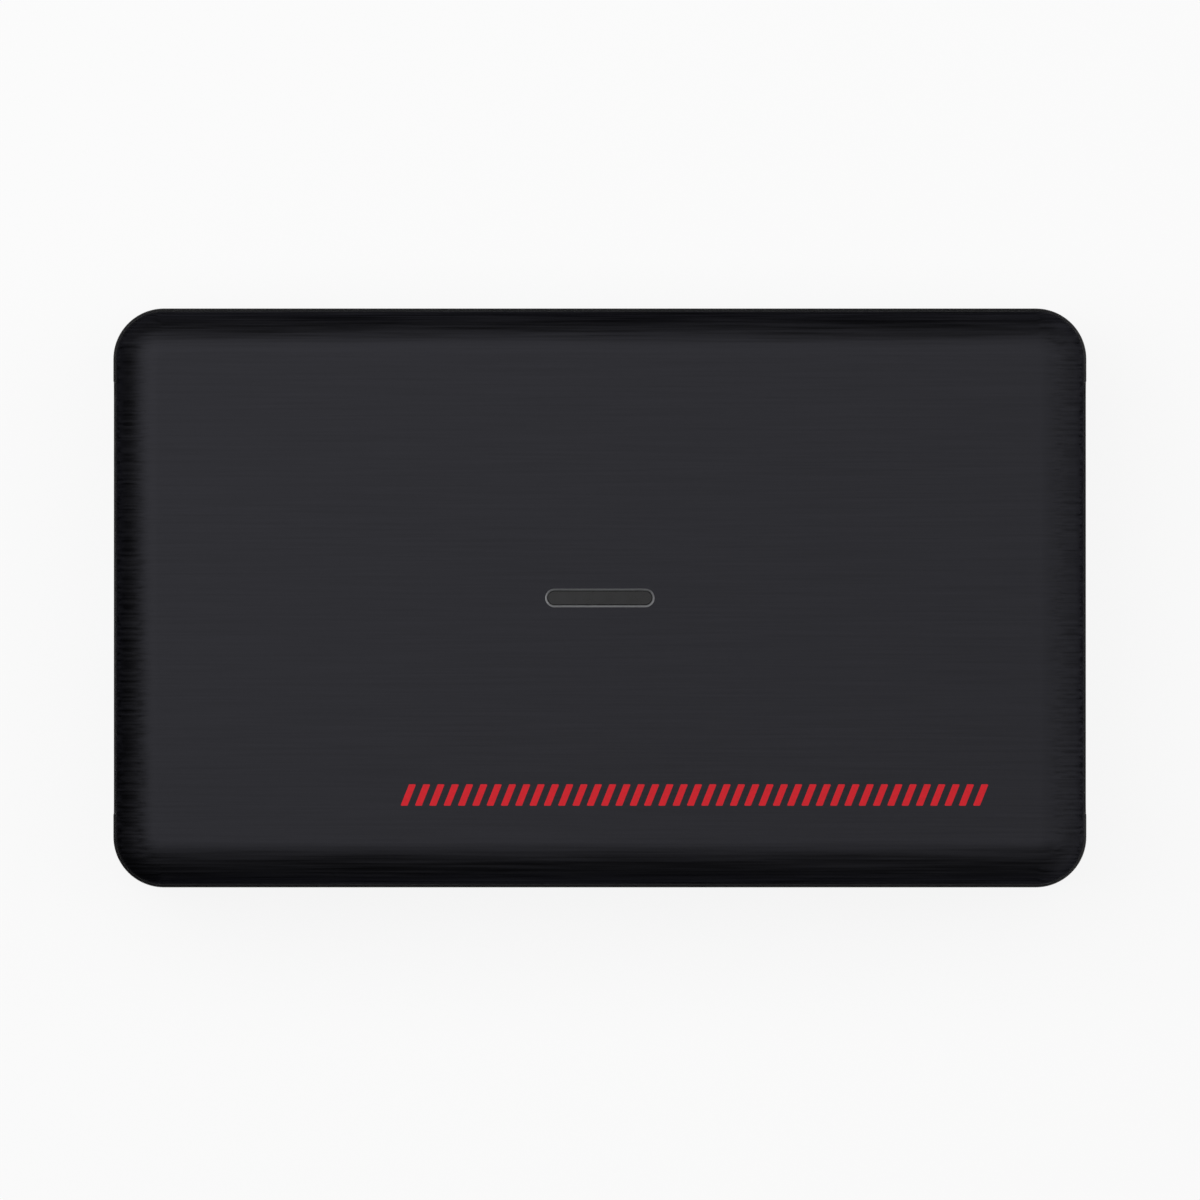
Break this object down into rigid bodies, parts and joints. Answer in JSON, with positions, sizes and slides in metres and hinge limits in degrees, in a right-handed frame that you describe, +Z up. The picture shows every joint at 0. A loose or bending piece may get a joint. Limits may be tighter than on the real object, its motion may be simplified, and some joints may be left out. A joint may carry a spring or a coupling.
{
  "type": "video capture box",
  "caption": "Flat rectangular video capture box: brushed metal cover with a lit slot, moulded tray, end panels with video, data and audio sockets, board inside.",
  "frame": {"origin": "under the middle of the case, on the plane that the feet stand on", "axes": "+X along the length towards the outputs, +Y across the width, +Z up through the cover"},
  "size_m": [0.1, 0.0596, 0.02],
  "materials": {
    "brushed_anodised_aluminium": "brushed along the length and anodised black",
    "black_abs": "moulded, fine spark texture",
    "blackened_steel": "black oxide",
    "black_rubber": "matt",
    "smoked_polycarbonate": "smoked, polished",
    "adhesive_tape": "matt",
    "lamp_resin": "milky",
    "green_fr4": "solder mask",
    "zinc_steel": "zinc plated",
    "nickel_shell": "nickel plated",
    "black_nylon": "moulded",
    "blue_nylon": "moulded",
    "gold_contact": "gold plated",
    "spring_bronze": "tin plated",
    "chip_epoxy": "moulded epoxy",
    "tinned_lead": "tin plated",
    "thermal_silicone": "soft",
    "bare_aluminium": "as extruded or drawn",
    "ferrite": "sintered",
    "ceramic": "fired"
  },
  "bodies": {
    "root": {"top_cover": "brushed_anodised_aluminium", "base_tray": "black_abs", "input_panel": "black_abs", "output_panel": "black_abs", "case_screws": "blackened_steel", "rubber_feet": "black_rubber", "light_pipe": "smoked_polycarbonate", "light_pipe_tape": "adhesive_tape", "status_lamps": "lamp_resin", "circuit_board": "green_fr4", "board_screws": "zinc_steel", "video_in_shell": "nickel_shell", "video_out_shell": "nickel_shell", "data_shell": "nickel_shell", "mic_jack_ferrule": "nickel_shell", "headphone_jack_ferrule": "nickel_shell", "video_in_insulator": "black_nylon", "video_out_insulator": "black_nylon", "mic_jack_body": "black_nylon", "headphone_jack_body": "black_nylon", "data_insulator": "blue_nylon", "video_in_contacts": "gold_contact", "video_out_contacts": "gold_contact", "data_contacts": "gold_contact", "mic_jack_springs": "spring_bronze", "headphone_jack_springs": "spring_bronze", "capture_processor": "chip_epoxy", "video_receiver": "chip_epoxy", "flash_memory": "chip_epoxy", "bus_bridge": "chip_epoxy", "memory_chips": "chip_epoxy", "loop_splitter": "chip_epoxy", "audio_codec": "chip_epoxy", "voltage_regulators": "chip_epoxy", "surge_arrays": "chip_epoxy", "chip_resistors": "chip_epoxy", "bulk_capacitor_bases": "chip_epoxy", "video_receiver_leads": "tinned_lead", "flash_memory_leads": "tinned_lead", "regulator_leads": "tinned_lead", "thermal_pad": "thermal_silicone", "heat_sink": "bare_aluminium", "bulk_capacitor_cans": "bare_aluminium", "crystals": "bare_aluminium", "power_inductors": "ferrite", "line_filters": "ferrite", "ceramic_capacitors": "ceramic"}
  },
  "joints": []
}
